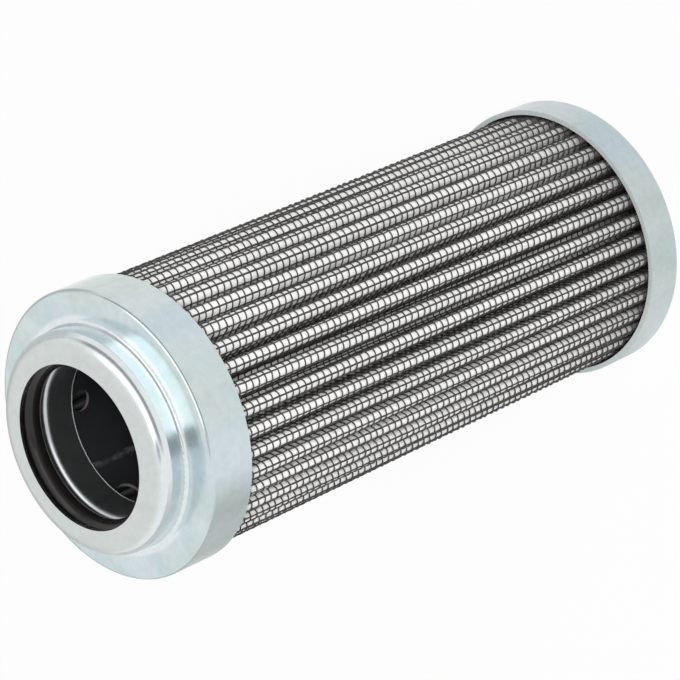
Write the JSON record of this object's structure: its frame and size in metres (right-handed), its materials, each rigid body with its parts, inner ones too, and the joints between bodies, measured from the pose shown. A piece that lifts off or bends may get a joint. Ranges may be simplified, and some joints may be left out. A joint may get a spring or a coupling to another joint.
{
  "type": "transmission oil filter element",
  "caption": "Pleated hydraulic oil filter element with wire cloth over glass-fibre media, two drawn steel end caps and an O-ring sealed outlet neck.",
  "frame": {"origin": "centre of the closed rear cap's outer face, on which the element stands", "axes": "+Z along the element's axis, from the closed rear cap to the outlet neck"},
  "size_m": [0.047, 0.047, 0.1155],
  "materials": {
    "zinc_plate": "bright blue-passivated zinc plate on drawn steel",
    "collar_zinc": "zinc plate, smoother than the caps",
    "seal_rubber": "smooth black nitrile",
    "core_steel": "dark coated perforated steel",
    "black_wire": "black epoxy-coated woven wire",
    "glass_fibre": "matt white glass-fibre sheet",
    "adhesive": "hard dark potting adhesive"
  },
  "bodies": {
    "root": {"front_end_cap": "zinc_plate", "rear_end_cap": "zinc_plate", "seal_retainer": "collar_zinc", "o_ring": "seal_rubber", "core_tube": "core_steel", "inner_mesh": "black_wire", "filter_media": "glass_fibre", "outer_mesh": "black_wire", "front_potting": "adhesive", "rear_potting": "adhesive"}
  },
  "joints": []
}
